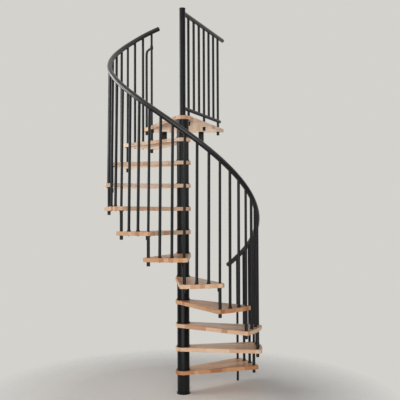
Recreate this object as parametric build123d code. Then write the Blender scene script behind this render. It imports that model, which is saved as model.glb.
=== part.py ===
from build123d import *
import math
import os

# Spiral stair on a centre pole: 11 timber treads at equal rises and a triangular landing.
# Origin on the floor under the pole, +Z up, +Y toward the wall that carries the landing.
# Seen from above the stair climbs clockwise. Millimetres and degrees.

# Flight
RISE = 207.0
LANDING_RISE = 200.0
TREAD_COUNT = 11
TURN_PER_RISE = 25.5
FIRST_LINK_ANGLE = 38.25
STAIR_RADIUS = 700.0
BALUSTER_INSET = 37.0

# Timber treads and landing
TIMBER_THICKNESS = 33.0
HUB_RADIUS = 70.0
TREAD_FRONT_OVERHANG_ANGLE = 2.3
TREAD_REAR_OVERHANG_ANGLE = 3.0
TREAD_CORNER_RADIUS = 22.0
TREAD_EDGE_ROUND = 3.0
LANDING_DEPTH = 800.0
LANDING_LINK_INSET = 24.0
LANDING_CORNER_RADIUS = 12.0

# Pole and the tubes that space the treads
BASE_THICKNESS = 8.0
BASE_BOLT_CIRCLE = 78.0
BASE_BOLT_HOLE = 9.0
BASE_BOLT_COUNT = 4
POLE_DIAMETER = 54.0
POLE_ABOVE_LANDING = 981.0
POLE_CAP_HEIGHT = 9.0
POLE_CAP_DOME = 4.0
POLE_CAP_OVERHANG = 1.5
SPACER_DIAMETER = 109.0
SPACER_WALL = 4.0
SPACER_FOOT_DIAMETER = 120.0
SPACER_FOOT_HEIGHT = 12.0
SPACER_END_THICKNESS = 6.0
SLIDE_CLEARANCE = 0.3

# Balusters
LINK_DIAMETER = 22.0
LINK_BELOW_TREAD = 30.0
BAR_DIAMETER = 24.0
TREAD_BAR_COUNT = 2
BAR_FOOT_DIAMETER = 34.0
BAR_FOOT_TOP_DIAMETER = 28.0
BAR_FOOT_HEIGHT = 14.0
BAR_FOOT_STEP = 0.3
BAR_FOOT_SINK = 3.0
SLEEVE_DIAMETER = 26.0
SLEEVE_FLANGE_DIAMETER = 46.0
SLEEVE_FLANGE_THICKNESS = 5.0
LOCK_SCREW_DIAMETER = 9.0
LOCK_SCREW_LENGTH = 28.0
LOCK_SCREW_ROUND = 1.5
NUT_DIAMETER = 28.0
NUT_HEIGHT = 36.0
NUT_ROUND = 4.0
NUT_FLANGE_DIAMETER = 36.0
NUT_FLANGE_THICKNESS = 3.0

# Handrail
RAIL_DIAMETER = 44.0
RAIL_START_HEIGHT = 1184.0
RAIL_RISE_PER_TREAD = 204.5
RAIL_CREST = 44.0
RAIL_CREST_SKEW = 1.2
RAIL_LEVELLING = 32.0
RAIL_LEVELLING_STEPS = 0.5
RAIL_SWAY = 13.0
RAIL_SWAY_SKEW = 1.5
RAIL_LEAD_IN_ANGLE = 9.9
RAIL_LEAD_OUT_ANGLE = 5.9
RAIL_POINT_COUNT = 3
RAIL_CAP_LENGTH = 12.0

# Guard on the open side of the landing
GUARD_SIDE_INSET = 67.0
GUARD_BACK_INSET = 49.0
GUARD_BAR_COUNT = 7
GUARD_FIRST_BAR = 126.0
GUARD_LONG_BAR_COUNT = 3
GUARD_TOP_HEIGHT = 948.0
GUARD_TOP_DIAMETER = 40.0
GUARD_TOP_OVERHANG = 129.0
GUARD_LOW_HEIGHT = 78.0
GUARD_LOW_DIAMETER = 32.0
GUARD_LOW_OVERHANG = 49.0

# Bar at the landing's far corner, tied to the last link baluster
CORNER_BAR_BACK_INSET = 69.0
CORNER_BAR_SIDE_INSET = 61.0
CORNER_BAR_HEIGHT = 790.0
CORNER_BAR_BEND = 40.0
CLIP_LENGTH = 34.0
CLIP_WALL = 4.0

# Wall brackets under the back edge of the landing
BRACKET_OFFSET = 190.0
BRACKET_WIDTH = 54.0
BRACKET_HEIGHT = 105.0
BRACKET_REACH = 62.0
BRACKET_THICKNESS = 6.0
BRACKET_HOLE = 11.0
BRACKET_UPPER_HOLE_DROP = 26.0
BRACKET_LOWER_HOLE_RISE = 20.0

BALUSTER_RADIUS = STAIR_RADIUS - BALUSTER_INSET
LANDING_TOP = RISE * TREAD_COUNT + LANDING_RISE
LANDING_UNDERSIDE = LANDING_TOP - TIMBER_THICKNESS
POLE_TOP = LANDING_TOP + POLE_ABOVE_LANDING
LINK_COUNT = TREAD_COUNT + 1

os.makedirs("parts", exist_ok=True)


def save(name, shape):
    export_step(shape, f"parts/{name}.step")


def group(solids):
    return Compound(children=list(solids))


def at_angle(angle, radius):
    return radius * math.cos(math.radians(angle)), radius * math.sin(math.radians(angle))


def link_angle(step):
    """Angle of the link baluster between tread number step and the next one."""
    return FIRST_LINK_ANGLE - step * TURN_PER_RISE


def board_top(number):
    """Height of a tread's top, or the landing's for the number after the last tread."""
    return LANDING_TOP if number > TREAD_COUNT else number * RISE


def rail_height(step):
    """Rail centre: an even climb, higher over the middle treads, levelling at the top."""
    share = max(step, 0) / TREAD_COUNT
    crest = RAIL_CREST * math.sin(math.pi * share**RAIL_CREST_SKEW) ** 2
    level_run = max(step - TREAD_COUNT + RAIL_LEVELLING_STEPS, 0)
    climb = RAIL_START_HEIGHT + step * RAIL_RISE_PER_TREAD
    return climb + crest - RAIL_LEVELLING * level_run**2


def rail_sway(step):
    """Sideways shift of the rail, which is bent a little tight on the left."""
    share = max(step, 0) / TREAD_COUNT
    return RAIL_SWAY * math.sin(math.pi * share**RAIL_SWAY_SKEW) ** 2


def rail_point(step):
    x, y = at_angle(link_angle(step), BALUSTER_RADIUS)
    return x + rail_sway(step), y, rail_height(step)


def round_bar(diameter, x, y, low, high):
    return Pos(x, y, low) * Cylinder(
        diameter / 2, high - low, align=(Align.CENTER, Align.CENTER, Align.MIN)
    )


# Timber pieces


def hub_tangent(corner, side):
    """Point where the straight edge through a corner touches the round hub."""
    corner_angle = math.atan2(corner[1], corner[0])
    spread = math.acos(HUB_RADIUS / math.hypot(*corner))
    angle = corner_angle + side * spread
    return HUB_RADIUS * math.cos(angle), HUB_RADIUS * math.sin(angle)


def board(left, right, outer_edge, hub_far):
    """Timber board from the round hub to its outer edge, with eased arrises."""
    left_foot = hub_tangent(left, 1)
    right_foot = hub_tangent(right, -1)
    edges = [
        Line(right_foot, right),
        outer_edge,
        Line(left, left_foot),
        ThreePointArc(left_foot, hub_far, right_foot),
    ]
    return make_face(edges)


def timber(face, corners, corner_radius, top):
    body = Pos(0, 0, top - TIMBER_THICKNESS) * extrude(face, TIMBER_THICKNESS)
    upright = [
        edge
        for edge in body.edges().filter_by(Axis.Z)
        if any(
            math.hypot(edge.center().X - x, edge.center().Y - y) < 1 for x, y in corners
        )
    ]
    body = fillet(upright, corner_radius)
    rims = body.edges().group_by(Axis.Z)
    return fillet(rims[0] + rims[-1], TREAD_EDGE_ROUND)


def bored(body, centres, diameter, low, high):
    for x, y in centres:
        body -= round_bar(diameter, x, y, low - 1, high + 1)
    return body


# The nosing side looks back down the flight, the rear side runs under the next tread
tread_nosing = at_angle(TURN_PER_RISE / 2 + TREAD_FRONT_OVERHANG_ANGLE, STAIR_RADIUS)
tread_rear = at_angle(-TURN_PER_RISE / 2 - TREAD_REAR_OVERHANG_ANGLE, STAIR_RADIUS)
tread_face = board(
    tread_nosing,
    tread_rear,
    ThreePointArc(tread_rear, (STAIR_RADIUS, 0), tread_nosing),
    (-HUB_RADIUS, 0),
)
tread_blank = timber(
    tread_face, (tread_nosing, tread_rear), TREAD_CORNER_RADIUS, TIMBER_THICKNESS
)
tread_blank = bored(
    tread_blank,
    [(0, 0)],
    POLE_DIAMETER + 2 * SLIDE_CLEARANCE,
    0,
    TIMBER_THICKNESS,
)
tread_blank = bored(
    tread_blank,
    [at_angle(side * TURN_PER_RISE / 2, BALUSTER_RADIUS) for side in (-1, 1)],
    LINK_DIAMETER + 2 * SLIDE_CLEARANCE,
    0,
    TIMBER_THICKNESS,
)
for number in range(1, TREAD_COUNT + 1):
    place = Pos(0, 0, number * RISE - TIMBER_THICKNESS)
    turn = Rot(0, 0, link_angle(number - 0.5))
    save(f"tread_{number:02d}", place * turn * tread_blank)

# The landing's left edge clears the last link baluster, its right edge mirrors it
last_link_angle = link_angle(TREAD_COUNT)
last_link = at_angle(last_link_angle, BALUSTER_RADIUS)
edge_spread = math.acos((HUB_RADIUS - LANDING_LINK_INSET) / BALUSTER_RADIUS)
edge_normal = math.radians(last_link_angle) + edge_spread
landing_half_width = (LANDING_DEPTH * math.sin(edge_normal) - HUB_RADIUS) / math.cos(
    edge_normal
)
landing_left = (-landing_half_width, LANDING_DEPTH)
landing_right = (landing_half_width, LANDING_DEPTH)

# Guard bars stand on a line from the pole to a point near the landing's right corner
guard_last = (
    landing_half_width - GUARD_SIDE_INSET,
    LANDING_DEPTH - GUARD_BACK_INSET,
)
guard_angle = math.degrees(math.atan2(guard_last[1], guard_last[0]))
guard_reach = math.hypot(*guard_last)
guard_bar_pitch = (guard_reach - GUARD_FIRST_BAR) / (GUARD_BAR_COUNT - 1)
guard_points = [
    at_angle(guard_angle, GUARD_FIRST_BAR + guard_bar_pitch * index)
    for index in range(GUARD_BAR_COUNT)
]
long_bar_step = (GUARD_BAR_COUNT - 1) // (GUARD_LONG_BAR_COUNT - 1)
long_guard_points = guard_points[::long_bar_step]
corner_point = (
    CORNER_BAR_SIDE_INSET - landing_half_width,
    LANDING_DEPTH - CORNER_BAR_BACK_INSET,
)

landing_face = board(
    landing_left,
    landing_right,
    Line(landing_right, landing_left),
    (0, -HUB_RADIUS),
)
landing = timber(
    landing_face, (landing_left, landing_right), LANDING_CORNER_RADIUS, LANDING_TOP
)
landing = bored(
    landing,
    [(0, 0)],
    POLE_DIAMETER + 2 * SLIDE_CLEARANCE,
    LANDING_UNDERSIDE,
    LANDING_TOP,
)
landing = bored(
    landing,
    [last_link],
    LINK_DIAMETER + 2 * SLIDE_CLEARANCE,
    LANDING_UNDERSIDE,
    LANDING_TOP,
)
landing = bored(
    landing,
    long_guard_points + [corner_point],
    BAR_DIAMETER + 2 * SLIDE_CLEARANCE,
    LANDING_UNDERSIDE,
    LANDING_TOP,
)
save("landing_platform", landing)

# Pole, base plate and spacer tubes
spacer_inside = SPACER_DIAMETER - 2 * SPACER_WALL
base_plate = round_bar(spacer_inside - 2 * SLIDE_CLEARANCE, 0, 0, 0, BASE_THICKNESS)
base_plate = bored(
    base_plate,
    [
        at_angle((index + 0.5) * 360 / BASE_BOLT_COUNT, BASE_BOLT_CIRCLE / 2)
        for index in range(BASE_BOLT_COUNT)
    ],
    BASE_BOLT_HOLE,
    0,
    BASE_THICKNESS,
)
save("base_plate", base_plate)
save("centre_pole", round_bar(POLE_DIAMETER, 0, 0, BASE_THICKNESS, POLE_TOP))

cap_radius = POLE_DIAMETER / 2 + POLE_CAP_OVERHANG
cap_rim = POLE_CAP_HEIGHT - POLE_CAP_DOME
cap_profile = make_face(
    [
        Line((0, 0), (cap_radius, 0)),
        Line((cap_radius, 0), (cap_radius, cap_rim)),
        TangentArc((0, POLE_CAP_HEIGHT), (cap_radius, cap_rim), tangent=(1, 0)),
        Line((0, POLE_CAP_HEIGHT), (0, 0)),
    ]
)
pole_cap = revolve(Plane.XZ * cap_profile, Axis.Z)
save("pole_cap", Pos(0, 0, POLE_TOP) * pole_cap)


def column_spacer(low, high, foot_disc):
    """Tube with a thicker foot ring and a centring disc round the pole at its ends."""
    bore = POLE_DIAMETER + 2 * SLIDE_CLEARANCE
    shell = round_bar(SPACER_DIAMETER, 0, 0, low, high)
    shell += round_bar(SPACER_FOOT_DIAMETER, 0, 0, low, low + SPACER_FOOT_HEIGHT)
    hollow_low = low + SPACER_END_THICKNESS if foot_disc else low
    hollow_high = high - SPACER_END_THICKNESS
    shell -= round_bar(spacer_inside, 0, 0, hollow_low, hollow_high)
    return shell - round_bar(bore, 0, 0, low, high)


# The first spacer covers the base plate, so it has no foot disc
for number in range(1, TREAD_COUNT + 2):
    low = (number - 1) * RISE
    high = board_top(number) - TIMBER_THICKNESS
    save(f"column_spacer_{number:02d}", column_spacer(low, high, number > 1))

# Handrail winding over the balusters
rail_first_step = -RAIL_LEAD_IN_ANGLE / TURN_PER_RISE
rail_last_step = TREAD_COUNT + RAIL_LEAD_OUT_ANGLE / TURN_PER_RISE
rail_spans = TREAD_COUNT * RAIL_POINT_COUNT
rail_steps = [
    rail_first_step + (rail_last_step - rail_first_step) * index / rail_spans
    for index in range(rail_spans + 1)
]
rail_path = Spline([rail_point(step) for step in rail_steps])


def round_along(path, diameter):
    start = Plane(path @ 0, z_dir=path % 0)
    return sweep(start * Circle(diameter / 2), path=path, is_frenet=True)


handrail = round_along(rail_path, RAIL_DIAMETER)
save("handrail", handrail)


def rounded_end(diameter, length, place, direction):
    """Plug that closes a rail: short cylinder with a rounded outer edge."""
    radius = diameter / 2
    plug = extrude(Circle(radius), length)
    plug = fillet(plug.edges().group_by(Axis.Z)[-1], length * 0.6)
    return Plane(place, z_dir=direction) * plug


rail_caps = [
    rounded_end(RAIL_DIAMETER, RAIL_CAP_LENGTH, rail_path @ 0, -(rail_path % 0)),
    rounded_end(RAIL_DIAMETER, RAIL_CAP_LENGTH, rail_path @ 1, rail_path % 1),
]
save("handrail_end_caps", group(rail_caps))



def baluster(diameter, step, low, upright_to):
    """Bar with an upright foot, and above it a tube that leans to meet the rail."""
    x, y = at_angle(link_angle(step), BALUSTER_RADIUS)
    top = rail_point(step)
    if rail_sway(step) < BAR_FOOT_STEP:
        return round_bar(diameter, x, y, low, top[2]) - handrail
    sideways, upward = top[0] - x, top[2] - upright_to
    length = math.hypot(sideways, upward)
    tube = round_bar(diameter - BAR_FOOT_STEP, 0, 0, -BAR_FOOT_SINK, length)
    leaning = Plane((x, y, upright_to), z_dir=(sideways, 0, upward)) * tube
    return round_bar(diameter, x, y, low, upright_to) + leaning - handrail


# Link balusters tie each tread to the next one, the first stands on the floor
link_balusters = []
link_sleeves = []
lock_screws = []
link_nuts = []
for step in range(LINK_COUNT):
    x, y = at_angle(link_angle(step), BALUSTER_RADIUS)
    low = 0 if step == 0 else step * RISE - TIMBER_THICKNESS - LINK_BELOW_TREAD
    link_balusters.append(baluster(LINK_DIAMETER, step, low, board_top(step + 1)))
    if step == 0:
        continue
    lower_top = step * RISE
    upper_bottom = board_top(step + 1) - TIMBER_THICKNESS
    bore = LINK_DIAMETER + 2 * SLIDE_CLEARANCE
    sleeve = round_bar(SLEEVE_DIAMETER, x, y, lower_top, upper_bottom)
    sleeve += round_bar(
        SLEEVE_FLANGE_DIAMETER,
        x,
        y,
        upper_bottom - SLEEVE_FLANGE_THICKNESS,
        upper_bottom,
    )
    link_sleeves.append(sleeve - round_bar(bore, x, y, lower_top, upper_bottom))
    # A lock screw hangs from each flange, on the side of the upper tread
    offset = (SLEEVE_DIAMETER + LOCK_SCREW_DIAMETER) / 2 + SLIDE_CLEARANCE
    ahead_x, ahead_y = at_angle(link_angle(step) - 90, offset)
    screw_top = upper_bottom - SLEEVE_FLANGE_THICKNESS
    screw = round_bar(
        LOCK_SCREW_DIAMETER,
        x + ahead_x,
        y + ahead_y,
        screw_top - LOCK_SCREW_LENGTH,
        screw_top,
    )
    lock_screws.append(fillet(screw.edges().group_by(Axis.Z)[0], LOCK_SCREW_ROUND))


def cap_nut(x, y, underside, bar_diameter, bar_depth):
    """Flanged cap nut under the timber, over the bar's lower end."""
    nut = round_bar(NUT_DIAMETER, x, y, underside - NUT_HEIGHT, underside)
    nut = fillet(nut.edges().group_by(Axis.Z)[0], NUT_ROUND)
    flange_low = underside - NUT_FLANGE_THICKNESS
    nut += round_bar(NUT_FLANGE_DIAMETER, x, y, flange_low, underside)
    return nut - round_bar(bar_diameter, x, y, underside - bar_depth, underside)


for step in range(1, LINK_COUNT):
    x, y = at_angle(link_angle(step), BALUSTER_RADIUS)
    underside = step * RISE - TIMBER_THICKNESS
    link_nuts.append(cap_nut(x, y, underside, LINK_DIAMETER, LINK_BELOW_TREAD))
save("link_balusters", group(link_balusters))
save("link_sleeves", group(link_sleeves))
save("link_lock_screws", group(lock_screws))
save("link_end_nuts", group(link_nuts))

# Two balusters on every tread, each in a collar
tread_bars = []
tread_bar_feet = []
for number in range(1, TREAD_COUNT + 1):
    for place in range(1, TREAD_BAR_COUNT + 1):
        step = number - 1 + place / (TREAD_BAR_COUNT + 1)
        x, y = at_angle(link_angle(step), BALUSTER_RADIUS)
        top = number * RISE
        foot_top = top + BAR_FOOT_HEIGHT
        tread_bars.append(baluster(BAR_DIAMETER, step, top, foot_top))
        foot = Pos(x, y, top) * Cone(
            BAR_FOOT_DIAMETER / 2,
            BAR_FOOT_TOP_DIAMETER / 2,
            BAR_FOOT_HEIGHT,
            align=(Align.CENTER, Align.CENTER, Align.MIN),
        )
        tread_bar_feet.append(foot - round_bar(BAR_DIAMETER, x, y, top, foot_top))
save("tread_balusters", group(tread_bars))
save("tread_baluster_collars", group(tread_bar_feet))

# Landing guard: two rails from the pole with seven bars between them


def guard_rail(diameter, height, length):
    x, y = at_angle(guard_angle, length)
    path = Line((0, 0, LANDING_TOP + height), (x, y, LANDING_TOP + height))
    rail = round_along(path, diameter)
    return rail - round_bar(POLE_DIAMETER, 0, 0, BASE_THICKNESS, POLE_TOP)


guard_top_length = guard_reach + GUARD_TOP_OVERHANG
guard_low_length = guard_reach + GUARD_LOW_OVERHANG
guard_top = guard_rail(GUARD_TOP_DIAMETER, GUARD_TOP_HEIGHT, guard_top_length)
guard_low = guard_rail(GUARD_LOW_DIAMETER, GUARD_LOW_HEIGHT, guard_low_length)
guard_bars = []
guard_nuts = []
for x, y in guard_points:
    long_bar = (x, y) in long_guard_points
    low = LANDING_UNDERSIDE - LINK_BELOW_TREAD
    if not long_bar:
        low = LANDING_TOP + GUARD_LOW_HEIGHT
    bar = round_bar(BAR_DIAMETER, x, y, low, LANDING_TOP + GUARD_TOP_HEIGHT)
    bar -= guard_top
    if long_bar:
        guard_low -= round_bar(
            BAR_DIAMETER, x, y, LANDING_TOP, LANDING_TOP + GUARD_TOP_HEIGHT
        )
        guard_nuts.append(
            cap_nut(x, y, LANDING_UNDERSIDE, BAR_DIAMETER, LINK_BELOW_TREAD)
        )
    else:
        bar -= guard_low
    guard_bars.append(bar)
save("guard_top_rail", guard_top)
save("guard_low_rail", guard_low)
save("guard_bars", group(guard_bars))

guard_end_x, guard_end_y = at_angle(guard_angle, guard_top_length)
guard_end = rounded_end(
    GUARD_TOP_DIAMETER,
    RAIL_CAP_LENGTH,
    (guard_end_x, guard_end_y, LANDING_TOP + GUARD_TOP_HEIGHT),
    (guard_end_x, guard_end_y, 0),
)
save("guard_rail_end_cap", guard_end)

# Corner bar: up from the landing, bent over to the last link baluster
corner_top = LANDING_TOP + CORNER_BAR_HEIGHT
to_link = (last_link[0] - corner_point[0], last_link[1] - corner_point[1])
to_link_length = math.hypot(*to_link)
unit = (to_link[0] / to_link_length, to_link[1] / to_link_length)
corner_low = (*corner_point, LANDING_UNDERSIDE - LINK_BELOW_TREAD)
bend_start = (*corner_point, corner_top - CORNER_BAR_BEND)
bend_end = (
    corner_point[0] + unit[0] * CORNER_BAR_BEND,
    corner_point[1] + unit[1] * CORNER_BAR_BEND,
    corner_top,
)
arm_length = to_link_length - LINK_DIAMETER / 2
arm_end = (
    corner_point[0] + unit[0] * arm_length,
    corner_point[1] + unit[1] * arm_length,
    corner_top,
)
upright = Line(corner_low, bend_start)
bend = TangentArc(bend_start, bend_end, tangent=(0, 0, 1))
arm = Line(bend_end, arm_end)
corner_path = Wire([upright, bend, arm])
corner_section = Plane(corner_low, z_dir=(0, 0, 1)) * Circle(BAR_DIAMETER / 2)
corner_bar = sweep(corner_section, path=corner_path)
last_bar = link_balusters[-1]
clip = round_bar(
    LINK_DIAMETER + 2 * CLIP_WALL,
    *last_link,
    corner_top - CLIP_LENGTH / 2,
    corner_top + CLIP_LENGTH / 2,
)
clip -= round_bar(LINK_DIAMETER, *last_link, LANDING_TOP, corner_top + CLIP_LENGTH)
corner_bar -= clip
corner_bar -= last_bar
save("corner_bar", corner_bar)
save("corner_bar_clip", clip)
guard_nuts.append(
    cap_nut(*corner_point, LANDING_UNDERSIDE, BAR_DIAMETER, LINK_BELOW_TREAD)
)
save("landing_nuts", group(guard_nuts))


# Angle brackets that carry the landing's back edge on the wall


def wall_bracket(x):
    back = LANDING_DEPTH
    underside = LANDING_UNDERSIDE
    centred = (Align.CENTER, Align.MAX, Align.MAX)
    plate = Pos(x, back, underside) * Box(
        BRACKET_WIDTH, BRACKET_THICKNESS, BRACKET_HEIGHT, align=centred
    )
    shelf = Pos(x, back, underside) * Box(
        BRACKET_WIDTH, BRACKET_REACH, BRACKET_THICKNESS, align=centred
    )
    body = plate + shelf
    for drop in (BRACKET_UPPER_HOLE_DROP, BRACKET_HEIGHT - BRACKET_LOWER_HOLE_RISE):
        hole = Pos(x, back, underside - drop) * Rot(90, 0, 0)
        body -= hole * Cylinder(BRACKET_HOLE / 2, 3 * BRACKET_THICKNESS)
    return body


save("wall_bracket_left", wall_bracket(-BRACKET_OFFSET))
save("wall_bracket_right", wall_bracket(BRACKET_OFFSET))
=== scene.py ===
import math

import bpy
from mathutils import Matrix, Vector


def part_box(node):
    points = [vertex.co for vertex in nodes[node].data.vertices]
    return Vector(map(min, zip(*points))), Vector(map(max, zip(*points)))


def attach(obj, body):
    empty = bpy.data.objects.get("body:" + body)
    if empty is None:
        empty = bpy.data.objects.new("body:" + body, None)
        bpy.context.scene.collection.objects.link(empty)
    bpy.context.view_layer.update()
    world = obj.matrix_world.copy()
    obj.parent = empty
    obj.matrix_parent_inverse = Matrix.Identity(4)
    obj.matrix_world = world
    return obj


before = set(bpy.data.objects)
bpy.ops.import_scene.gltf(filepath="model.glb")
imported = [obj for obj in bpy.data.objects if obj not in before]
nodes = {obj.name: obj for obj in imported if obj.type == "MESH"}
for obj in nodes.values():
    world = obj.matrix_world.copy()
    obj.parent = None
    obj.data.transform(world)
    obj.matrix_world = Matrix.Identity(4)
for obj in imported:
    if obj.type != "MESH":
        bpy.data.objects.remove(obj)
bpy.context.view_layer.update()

# Timber treads: 11 boards of finger-jointed beech, glued up from narrow staves
# that run from the pole to the outer edge. The arrises are eased and the boards
# have a clear satin lacquer. Each is bored for the pole and two link balusters.

turn_per_rise = math.radians(25.5)
first_link = math.radians(38.25)
stave_width = 0.038
stave_run = 0.36
finger_pitch = 0.009
finger_depth = 0.010
joint_line = 0.0007

# How often the pattern changes in a metre: along a stave, across it, through it
grain_pitch = (5.0, 95.0, 60.0)
ring_pitch = (1.6, 24.0, 30.0)
fleck_pitch = (130.0, 900.0, 500.0)


class Wire:
    """A value in a node tree, so that shader maths reads as plain expressions."""

    def __init__(self, tree, socket):
        self.tree = tree
        self.socket = socket

    def out(self, name):
        return Wire(self.tree, self.socket.node.outputs[name])

    def math(self, operation, *others):
        node = self.tree.nodes.new("ShaderNodeMath")
        node.operation = operation
        for place, value in enumerate((self, *others)):
            feed(self.tree, node.inputs[place], value)
        return Wire(self.tree, node.outputs[0])

    def at_least(self, low):
        return self.math("MAXIMUM", low)

    def at_most(self, high):
        return self.math("MINIMUM", high)

    def clamped(self):
        return self.at_least(0.0).at_most(1.0)

    def past(self, start, slope):
        """Zero up to the start, and from there rising by the slope to one."""
        return ((self - start) * slope).clamped()

    def __add__(self, other):
        return self.math("ADD", other)

    def __sub__(self, other):
        return self.math("SUBTRACT", other)

    def __mul__(self, other):
        return self.math("MULTIPLY", other)

    def __truediv__(self, other):
        return self.math("DIVIDE", other)

    def __rsub__(self, other):
        return self * -1.0 + other

    __radd__ = __add__
    __rmul__ = __mul__


def feed(tree, socket, value):
    """Link or set a socket. A list is several links into the same socket."""
    if isinstance(value, list):
        for item in value:
            feed(tree, socket, item)
    elif isinstance(value, Wire):
        tree.links.new(value.socket, socket)
    else:
        socket.default_value = value


class NodeTree:
    """A node tree that starts empty, with the single way of adding a node to it."""

    def __init__(self, tree):
        self.tree = tree
        tree.nodes.clear()

    def node(self, kind, settings=None, values=None, stops=None):
        made = self.tree.nodes.new(kind)
        for key, value in (settings or {}).items():
            setattr(made, key, value)
        if stops:
            marks = made.color_ramp.elements
            while len(marks) < len(stops):
                marks.new(0.5)
            for mark, (position, colour) in zip(marks, stops):
                mark.position = position
                mark.color = colour
        for key, value in (values or {}).items():
            feed(self.tree, made.inputs[key], value)
        return Wire(self.tree, made.outputs[0] if made.outputs else None)

    def apart(self, vector):
        return self.node("ShaderNodeSeparateXYZ", None, {"Vector": vector})

    def together(self, x, y, z):
        return self.node("ShaderNodeCombineXYZ", None, {"X": x, "Y": y, "Z": z})


# The Mix node's sockets for colours share their names with those for numbers, so
# they are given by their places
mix_factor = 0
mix_low = 6
mix_high = 7
mix_result = 2


class Finish(NodeTree):
    """One material of the stair, laid out on Object coordinates."""

    def __init__(self, name):
        self.material = bpy.data.materials.new(name)
        self.material.use_nodes = True
        super().__init__(self.material.node_tree)
        self.place = self.node("ShaderNodeTexCoord").out("Object")

    def mapped(self, scale=(1.0, 1.0, 1.0), turn=0.0, shift=(0.0, 0.0, 0.0)):
        values = {
            "Vector": self.place,
            "Location": shift,
            "Rotation": (0.0, 0.0, turn),
            "Scale": scale,
        }
        return self.node("ShaderNodeMapping", None, values)

    def noise(self, vector, scale, detail=2.0, rough=0.5):
        values = {
            "Vector": vector,
            "Scale": scale,
            "Detail": detail,
            "Roughness": rough,
        }
        return self.node("ShaderNodeTexNoise", None, values)

    def luck(self, *place):
        """A random number that is the same all over one stave or one row."""
        settings = {"noise_dimensions": "3D"}
        values = {"Vector": self.together(*place)}
        return self.node("ShaderNodeTexWhiteNoise", settings, values)

    def ramp(self, amount, stops):
        return self.node("ShaderNodeValToRGB", None, {"Fac": amount}, stops)

    def mix(self, amount, low, high, blend="MIX"):
        settings = {"data_type": "RGBA", "blend_type": blend}
        values = {mix_factor: amount, mix_low: low, mix_high: high}
        return self.node("ShaderNodeMix", settings, values).out(mix_result)

    def bump(self, height, distance):
        values = {"Height": height, "Distance": distance}
        return self.node("ShaderNodeBump", None, values)

    def surface(self, values):
        shader = self.node("ShaderNodeBsdfPrincipled", None, values)
        self.node("ShaderNodeOutputMaterial", None, {"Surface": shader})
        return self.material


def shown(red, green, blue):
    """Linear colour from the values that a screen shows, 0 to 255."""

    def linear(value):
        value /= 255.0
        if value <= 0.04045:
            return value / 12.92
        return ((value + 0.055) / 1.055) ** 2.4

    return (linear(red), linear(green), linear(blue), 1.0)


long_face_tints = [
    (0.00, shown(232, 212, 193)),
    (0.30, shown(228, 204, 182)),
    (0.60, shown(220, 189, 162)),
    (0.85, shown(208, 170, 139)),
    (1.00, shown(178, 130, 97)),
]
sawn_end_tints = [
    (0.00, shown(223, 195, 172)),
    (0.45, shown(216, 182, 154)),
    (0.70, shown(206, 163, 131)),
    (1.00, shown(176, 127, 94)),
]
ring_brown = shown(186, 146, 114)
grain_brown = shown(172, 130, 100)
fleck_brown = shown(132, 92, 66)
glue_brown = shown(124, 86, 60)
pale_cloud = shown(226, 200, 176)


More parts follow.
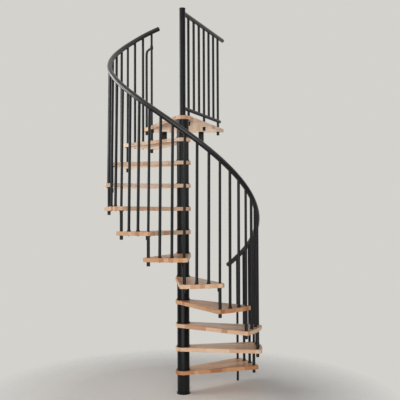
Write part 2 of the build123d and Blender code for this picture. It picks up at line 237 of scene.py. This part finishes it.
def beech(name, turn, seed, tone):
    """Finger-jointed beech whose staves run along the direction of turn."""
    wood = Finish(name)
    along = wood.apart(wood.mapped(turn=-turn))
    across = along.out("Y")
    depth = along.out("Z")

    # Which stave a point is in: rows side by side, each jointed at its own places.
    # Uneven multiples of the seed keep every board's rows and staves its own.
    row_place = across / stave_width + seed * 0.37
    row = row_place.math("FLOOR")
    row_start = wood.node(
        "ShaderNodeTexWhiteNoise",
        {"noise_dimensions": "1D"},
        {"W": row + seed * 17.0},
    )
    fingers = (across / finger_pitch).math("PINGPONG", 0.5) * (2.0 * finger_depth)
    run_place = (along + fingers) / stave_run + row_start * 5.0
    stave = run_place.math("FLOOR")
    stave_luck = wood.luck(row, stave, seed * 3.1)

    # Growth lines wander along each stave, and short dark flecks lie between them
    def stretched(pitch, shift):
        x, y, z = pitch
        return wood.together(along * x + shift, across * y + shift, depth * z)

    own_grain = stave_luck * 9.0
    grain = wood.noise(stretched(grain_pitch, own_grain), 1.0, detail=5.0, rough=0.62)
    rings = wood.noise(stretched(ring_pitch, own_grain), 1.0, detail=2.0)
    flecks = wood.noise(stretched(fleck_pitch, 0.0), 1.0, detail=1.0, rough=0.4)
    grain_mask = grain.past(0.5, 1.9)
    ring_mask = rings.past(0.36, 3.0)
    fleck_mask = flecks.past(0.61, 9.0)

    # Fine dark glue lines between the rows and at the finger joints
    row_edge = (row_place - row).math("PINGPONG", 0.5) * stave_width
    run_edge = (run_place - stave).math("PINGPONG", 0.5) * stave_run
    seam = row_edge.at_most(run_edge)
    seam_mask = (1.0 - seam / joint_line).at_least(0.0)

    # Sawn ends drink more lacquer than the long faces, so they come out darker
    facing = wood.node("ShaderNodeTexCoord").out("Normal")
    stave_line = (math.cos(turn), math.sin(turn), 0.0)
    end_on = wood.node(
        "ShaderNodeVectorMath",
        {"operation": "DOT_PRODUCT"},
        {0: facing, 1: stave_line},
    ).out("Value")
    sawn_mask = (end_on.math("ABSOLUTE") * 2.2 - 0.9).at_least(0.0)
    end_luck = wood.luck(row, seed, seed * 2.3)
    long_tint = wood.ramp(stave_luck, long_face_tints)
    end_tint = wood.ramp(end_luck, sawn_end_tints)
    tint = wood.mix(sawn_mask, long_tint, end_tint)

    ringed = wood.mix(ring_mask * 0.42, tint, wood.mix(0.5, tint, ring_brown))
    grained = wood.mix(grain_mask, ringed, grain_brown)
    flecked = wood.mix(fleck_mask * 0.4, grained, fleck_brown)
    seamed = wood.mix(seam_mask * 0.35, flecked, glue_brown)
    cloud = wood.noise(wood.mapped(shift=(seed, 0.0, 0.0)), 3.0)
    clouded = wood.mix((cloud - 0.42) * 0.55, seamed, pale_cloud)
    relief = grain * 0.5 - fleck_mask * 0.3 - seam_mask * 0.8
    return wood.surface(
        {
            "Base Color": wood.mix(1.0, clouded, tone, "MULTIPLY"),
            "Roughness": 0.50 + grain * 0.16 + seam_mask * 0.1,
            "Normal": wood.bump(relief, 0.00025),
            "Specular IOR Level": 0.30,
            "Coat Weight": 0.20,
            "Coat Roughness": 0.28,
        }
    )


def finish_node(name, material):
    slots = nodes[name].material_slots
    for place in slots:
        place.material = material
    if not slots:
        nodes[name].data.materials.append(material)


# No two boards come from one tree, so each has its own tone, the lowest board first
board_tones = (
    shown(235, 206, 172),
    shown(253, 246, 236),
    shown(253, 247, 239),
    shown(218, 187, 154),
    shown(252, 245, 236),
    shown(240, 218, 194),
    shown(243, 228, 212),
    shown(248, 237, 224),
    shown(255, 255, 255),
    shown(255, 253, 249),
    shown(254, 248, 240),
)
tread_count = len(board_tones)
for number, tone in enumerate(board_tones, 1):
    middle_turn = first_link - (number - 0.5) * turn_per_rise
    wood = beech(f"beech_tread_{number:02d}", middle_turn, float(number), tone)
    finish_node(f"tread_{number:02d}", wood)

# Landing: a three-cornered board of the same beech, bored for the pole, the last
# link baluster and the guard's long bars. Its staves run straight to its back edge.

landing_turn = math.radians(90.0)
landing_seed = 23.0
landing_tone = shown(255, 252, 247)
landing_wood = beech("beech_landing", landing_turn, landing_seed, landing_tone)
finish_node("landing_platform", landing_wood)

# Steel parts: tubes, bars, sleeves, nuts and brackets with a satin black powder
# coat. The coat has a fine orange peel, handling leaves it slightly smeared, and
# dust greys what faces up.


def powder_coat(name, colour, dusty, gloss, peel, mirror):
    coat = Finish(name)
    cloud = coat.noise(coat.place, 7.0, detail=3.0)
    smear = coat.noise(coat.mapped((9.0, 9.0, 1.4)), 4.0, detail=3.0)
    speck = coat.noise(coat.place, 900.0, detail=1.0)
    upward = coat.apart(coat.node("ShaderNodeNewGeometry").out("Normal")).out("Z")
    settled = upward.at_least(0.0) * (0.25 + cloud * 0.5)
    worn = coat.mix((smear - 0.5) * 1.4, colour, dusty)
    return coat.surface(
        {
            "Base Color": coat.mix(settled, worn, dusty),
            "Roughness": gloss + smear * 0.14 + settled * 0.12,
            "Normal": coat.bump(speck, peel),
            "Specular IOR Level": mirror,
        }
    )


bar_coat = powder_coat(
    "black_powder_coat",
    shown(15, 17, 20),
    shown(34, 36, 40),
    gloss=0.26,
    peel=0.00002,
    mirror=0.32,
)
for name in (
    "link_balusters",
    "link_sleeves",
    "link_lock_screws",
    "link_end_nuts",
    "tread_balusters",
    "tread_baluster_collars",
    "guard_bars",
    "guard_low_rail",
    "landing_nuts",
    "corner_bar",
    "corner_bar_clip",
    "wall_bracket_left",
    "wall_bracket_right",
    "base_plate",
):
    finish_node(name, bar_coat)

# Pole and spacer tubes: a tube through every board, and between the boards a
# wider tube with a rolled foot ring. They are sprayed a little glossier.

spacer_count = tread_count + 1
pole_coat = powder_coat(
    "black_pole_coat",
    shown(12, 14, 17),
    shown(32, 34, 38),
    gloss=0.22,
    peel=0.00002,
    mirror=0.27,
)
finish_node("centre_pole", pole_coat)
for number in range(1, spacer_count + 1):
    finish_node(f"column_spacer_{number:02d}", pole_coat)

# Handrail, guard rail and caps: smooth black plastic with a soft sheen, drawn
# over a core and bent by hand, so the surface has long shallow ripples.


def rail_plastic(name):
    plastic = Finish(name)
    ripple = plastic.noise(plastic.place, 11.0)
    scuffed = plastic.mapped((60.0, 60.0, 22.0))
    scuff = plastic.noise(scuffed, 1.0, detail=4.0, rough=0.7)
    hair = scuff.past(0.58, 6.0)
    base = plastic.mix((ripple - 0.4) * 0.8, shown(23, 24, 26), shown(38, 39, 41))
    return plastic.surface(
        {
            "Base Color": plastic.mix(hair * 0.25, base, shown(62, 63, 65)),
            "Roughness": 0.30 + ripple * 0.12 + hair * 0.12,
            "Normal": plastic.bump(ripple * 0.6 + scuff * 0.05, 0.0012),
            "Specular IOR Level": 0.5,
            "Coat Weight": 0.35,
            "Coat Roughness": 0.22,
        }
    )


rail_finish = rail_plastic("black_rail_plastic")
for name in (
    "handrail",
    "handrail_end_caps",
    "guard_top_rail",
    "guard_rail_end_cap",
    "pole_cap",
):
    finish_node(name, rail_finish)

# Screws: pan heads with a hexagon socket hold every tread baluster from under its
# board, and wood screws and bolts hold the two brackets. All are blackened steel.

baluster_radius = 0.663
bars_per_tread = 2
head_sides = 20
hexagon_sides = 6
washer_sides = 24
head_taper = 0.74


def fastener_tree():
    """Head with a hexagon socket on a washer, set on every given point."""
    tree = bpy.data.node_groups.new("fastener_heads", "GeometryNodeTree")
    kit = NodeTree(tree)
    inputs = {
        "Places": "NodeSocketGeometry",
        "Head Radius": "NodeSocketFloat",
        "Head Height": "NodeSocketFloat",
        "Socket Radius": "NodeSocketFloat",
        "Washer Radius": "NodeSocketFloat",
        "Washer Height": "NodeSocketFloat",
        "Direction": "NodeSocketVector",
        "Finish": "NodeSocketMaterial",
    }
    for name, kind in inputs.items():
        tree.interface.new_socket(name, in_out="INPUT", socket_type=kind)
    tree.interface.new_socket(
        "Heads", in_out="OUTPUT", socket_type="NodeSocketGeometry"
    )
    given = kit.node("NodeGroupInput")

    def raised(shape, height):
        lift = kit.together(0.0, 0.0, height)
        values = {"Geometry": shape, "Translation": lift}
        return kit.node("GeometryNodeTransform", None, values)

    def disc(sides, radius, height):
        values = {"Vertices": sides, "Radius": radius, "Depth": height}
        return kit.node("GeometryNodeMeshCylinder", None, values)

    head_radius = given.out("Head Radius")
    head_height = given.out("Head Height")
    washer_height = given.out("Washer Height")
    cone = kit.node(
        "GeometryNodeMeshCone",
        None,
        {
            "Vertices": head_sides,
            "Radius Top": head_radius * head_taper,
            "Radius Bottom": head_radius,
            "Depth": head_height,
        },
    )
    socket = disc(hexagon_sides, given.out("Socket Radius"), head_height)
    head = kit.node(
        "GeometryNodeMeshBoolean",
        {"operation": "DIFFERENCE"},
        {"Mesh 1": cone, "Mesh 2": raised(socket, head_height)},
    )
    washer = disc(washer_sides, given.out("Washer Radius"), washer_height)
    both = [raised(head, washer_height), raised(washer, washer_height * 0.5)]
    joined = kit.node("GeometryNodeJoinGeometry", None, {"Geometry": both})
    values = {"Mesh": given.out("Places")}
    points = kit.node("GeometryNodeMeshToPoints", None, values)
    placed = kit.node(
        "GeometryNodeInstanceOnPoints",
        None,
        {
            "Points": points,
            "Instance": joined,
            "Rotation": given.out("Direction"),
        },
    )
    solid = kit.node("GeometryNodeRealizeInstances", None, {"Geometry": placed})
    values = {"Geometry": solid, "Material": given.out("Finish")}
    painted = kit.node("GeometryNodeSetMaterial", None, values)
    kit.node("NodeGroupOutput", None, {"Heads": painted})
    return tree


heads = fastener_tree()
screw_steel = powder_coat(
    "blackened_screw_steel",
    shown(24, 24, 26),
    shown(70, 70, 72),
    gloss=0.34,
    peel=0.00001,
    mirror=0.30,
)


def fasten(name, places, direction, head, socket, washer):
    """Heads on the given points. A head and a washer have a radius and a height."""
    sizes = {
        "Head Radius": head[0],
        "Head Height": head[1],
        "Socket Radius": socket,
        "Washer Radius": washer[0],
        "Washer Height": washer[1],
        "Direction": direction,
        "Finish": screw_steel,
    }
    mesh = bpy.data.meshes.new(name + "_places")
    mesh.from_pydata(places, [], [])
    holder = bpy.data.objects.new(name + "_holder", mesh)
    bpy.context.scene.collection.objects.link(holder)
    modifier = holder.modifiers.new("heads", "NODES")
    modifier.node_group = heads
    for item in heads.interface.items_tree:
        if item.in_out == "INPUT" and item.name in sizes:
            modifier[item.identifier] = sizes[item.name]
    bpy.context.view_layer.update()
    evaluated = holder.evaluated_get(bpy.context.evaluated_depsgraph_get())
    made = bpy.data.meshes.new_from_object(evaluated)
    bpy.data.objects.remove(holder)
    piece = bpy.data.objects.new(name, made)
    bpy.context.scene.collection.objects.link(piece)
    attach(piece, "root")


down = (math.pi, 0.0, 0.0)
forward = (math.pi / 2, 0.0, 0.0)

tread_screws = []
for number in range(1, tread_count + 1):
    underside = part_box(f"tread_{number:02d}")[0].z
    for bar in range(1, bars_per_tread + 1):
        step = number - 1 + bar / (bars_per_tread + 1)
        angle = first_link - step * turn_per_rise
        x = baluster_radius * math.cos(angle)
        y = baluster_radius * math.sin(angle)
        tread_screws.append((x, y, underside))
fasten(
    "tread_baluster_screws",
    tread_screws,
    down,
    head=(0.0065, 0.0035),
    socket=0.0025,
    washer=(0.0085, 0.0012),
)

bracket_plate = 0.006
upper_bolt_below_top = 0.026
lower_bolt_above_end = 0.020
shelf_screw_shares = (0.30, 0.68)
wall_bolts = []
shelf_screws = []
for side in ("left", "right"):
    low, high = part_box(f"wall_bracket_{side}")
    middle = (low.x + high.x) / 2
    for height in (high.z - upper_bolt_below_top, low.z + lower_bolt_above_end):
        wall_bolts.append((middle, high.y - bracket_plate, height))
    for share in shelf_screw_shares:
        reach = low.y + (high.y - low.y) * share
        shelf_screws.append((middle, reach, high.z - bracket_plate))
fasten(
    "bracket_wall_bolts",
    wall_bolts,
    forward,
    head=(0.008, 0.006),
    socket=0.0035,
    washer=(0.0095, 0.0015),
)
fasten(
    "bracket_wood_screws",
    shelf_screws,
    down,
    head=(0.0055, 0.003),
    socket=0.0022,
    washer=(0.007, 0.001),
)

# Studio: a plain pale floor that fades into a pale backdrop. Soft light comes from
# the front, from high on the left, and back up off the floor.

scene = bpy.context.scene
scene.view_settings.view_transform = "Standard"
backdrop = shown(212, 210, 205)
daylight = (0.97, 0.98, 1.0, 1.0)

# The soft light all round is strongest level with the stair, and weaker overhead
level_light = 0.57
overhead_loss = 0.53
world = bpy.data.worlds.new("studio")
world.use_nodes = True
scene.world = world
sky = NodeTree(world.node_tree)
seen = sky.node("ShaderNodeLightPath")
mirrored = seen.out("Is Glossy Ray")
through = seen.out("Is Transmission Ray")
shows = seen.out("Is Camera Ray").at_least(mirrored).at_least(through)
aim = sky.apart(sky.node("ShaderNodeTexCoord").out("Generated"))
sideways = aim.out("X")
back = aim.out("Y")
up = aim.out("Z")
soft_level = level_light - up.at_least(0.0) * overhead_loss

# What gloss mirrors: dark below eye level, pale above it and behind the stair, a
# brighter patch behind, and the brightest in front, up to a little over eye level
dark_gleam = 0.05
pale_gleam = 0.85
behind_gleam = 0.8
front_gleam = 3.6
front_turn = -0.22
front_reach = 0.975
front_top = 0.26
high = up.past(-0.1, 5.0)
pale_part = high.at_least(back * 1.3).at_most(1.0)
behind_part = back.past(0.6, 2.5) * high
facing_front = (sideways * front_turn - back * front_reach).past(0.78, 4.5)
front_part = facing_front * ((front_top - up) * 6.0).clamped()
gleam = (
    pale_part * pale_gleam
    + dark_gleam
    + front_part * front_gleam
    + behind_part * behind_gleam
)
screen_level = (gleam - 1.0) * mirrored + 1.0
values = {"Color": daylight, "Strength": soft_level}
soft = sky.node("ShaderNodeBackground", None, values)
values = {"Color": backdrop, "Strength": screen_level}
screen = sky.node("ShaderNodeBackground", None, values)
blend = sky.node("ShaderNodeMixShader", None, {0: shows, 1: soft, 2: screen})
sky.node("ShaderNodeOutputWorld", None, {"Surface": blend})

floor_radius = 4.0
floor_sides = 64
fade_starts = 0.95
fade_width = 0.95
floor_mesh = bpy.data.meshes.new("floor")
rim = [
    (floor_radius * math.cos(angle), floor_radius * math.sin(angle), 0.0)
    for angle in (math.tau * side / floor_sides for side in range(floor_sides))
]
floor_mesh.from_pydata(rim, [], [list(range(floor_sides))])
floor = bpy.data.objects.new("floor", floor_mesh)
scene.collection.objects.link(floor)
pale = Finish("pale_floor")
settings = {"operation": "LENGTH"}
reach = pale.node("ShaderNodeVectorMath", settings, {0: pale.place}).out("Value")
fade = reach.past(fade_starts, 1.0 / fade_width)
matt = pale.node(
    "ShaderNodeBsdfPrincipled",
    None,
    {"Base Color": shown(240, 238, 234), "Roughness": 0.8, "Specular IOR Level": 0.1},
)
clear = pale.node("ShaderNodeBsdfTransparent")
faded = pale.node("ShaderNodeMixShader", None, {0: fade, 1: matt, 2: clear})
pale.node("ShaderNodeOutputMaterial", None, {"Surface": faded})
floor_mesh.materials.append(pale.material)


def soft_light(name, place, target, size, watts, in_gloss):
    """A rectangular light, unseen by the camera. A size is a width and a height."""
    glow = bpy.data.lights.new(name, "AREA")
    glow.shape = "RECTANGLE"
    glow.size, glow.size_y = size
    glow.energy = watts
    light = bpy.data.objects.new(name, glow)
    line = Vector(target) - Vector(place)
    turned = line.to_track_quat("-Z", "Y").to_matrix().to_4x4()
    light.matrix_world = Matrix.Translation(place) @ turned
    light.visible_camera = False
    light.visible_glossy = in_gloss
    scene.collection.objects.link(light)


soft_light(
    "high_left_light",
    place=(-3.5, -0.5, 3.3),
    target=(-0.4, 0.0, 2.6),
    size=(1.4, 2.4),
    watts=48.0,
    in_gloss=True,
)
soft_light(
    "narrow_left_light",
    place=(-1.75, 0.45, 2.95),
    target=(-0.6, 0.0, 2.75),
    size=(0.5, 1.4),
    watts=10.0,
    in_gloss=True,
)
soft_light(
    "right_light",
    place=(3.2, -4.4, 1.6),
    target=(0.0, 0.0, 1.6),
    size=(2.0, 3.2),
    watts=34.0,
    in_gloss=False,
)
soft_light(
    "front_light",
    place=(0.2, -6.2, 1.5),
    target=(0.0, 0.0, 1.7),
    size=(2.4, 3.4),
    watts=172.0,
    in_gloss=False,
)
soft_light(
    "top_light",
    place=(0.2, -1.2, 5.4),
    target=(0.0, 0.0, 1.0),
    size=(3.6, 3.2),
    watts=5.0,
    in_gloss=True,
)
soft_light(
    "floor_bounce",
    place=(-1.4, 1.1, 0.05),
    target=(-1.0, 1.0, 2.6),
    size=(2.4, 3.0),
    watts=84.0,
    in_gloss=False,
)

# Camera: straight in front of the pole, at eye height, tipped up a little and
# turned a little to the right, as the photograph was taken.

image_width = 400.0
sensor_width = 36.0
focal_pixels = 608.7
distance = 5.476
eye_height = 1.546
turn_right = 0.0280
tip_up = 0.0318
lean = -0.0043

camera_data = bpy.data.cameras.new("photograph_view")
camera_data.sensor_width = sensor_width
camera_data.lens = focal_pixels * sensor_width / image_width
camera = bpy.data.objects.new("photograph_view", camera_data)
heading = Vector((math.sin(turn_right), math.cos(turn_right), 0.0))
gaze = heading * math.cos(tip_up) + Vector((0.0, 0.0, math.sin(tip_up)))
side = Vector((math.cos(turn_right), -math.sin(turn_right), 0.0))
crown = side.cross(gaze)
right = side * math.cos(lean) + crown * math.sin(lean)
top = crown * math.cos(lean) - side * math.sin(lean)
pose = Matrix((right, top, -gaze)).transposed().to_4x4()
camera.matrix_world = Matrix.Translation((0.0, -distance, eye_height)) @ pose
scene.collection.objects.link(camera)
scene.camera = camera
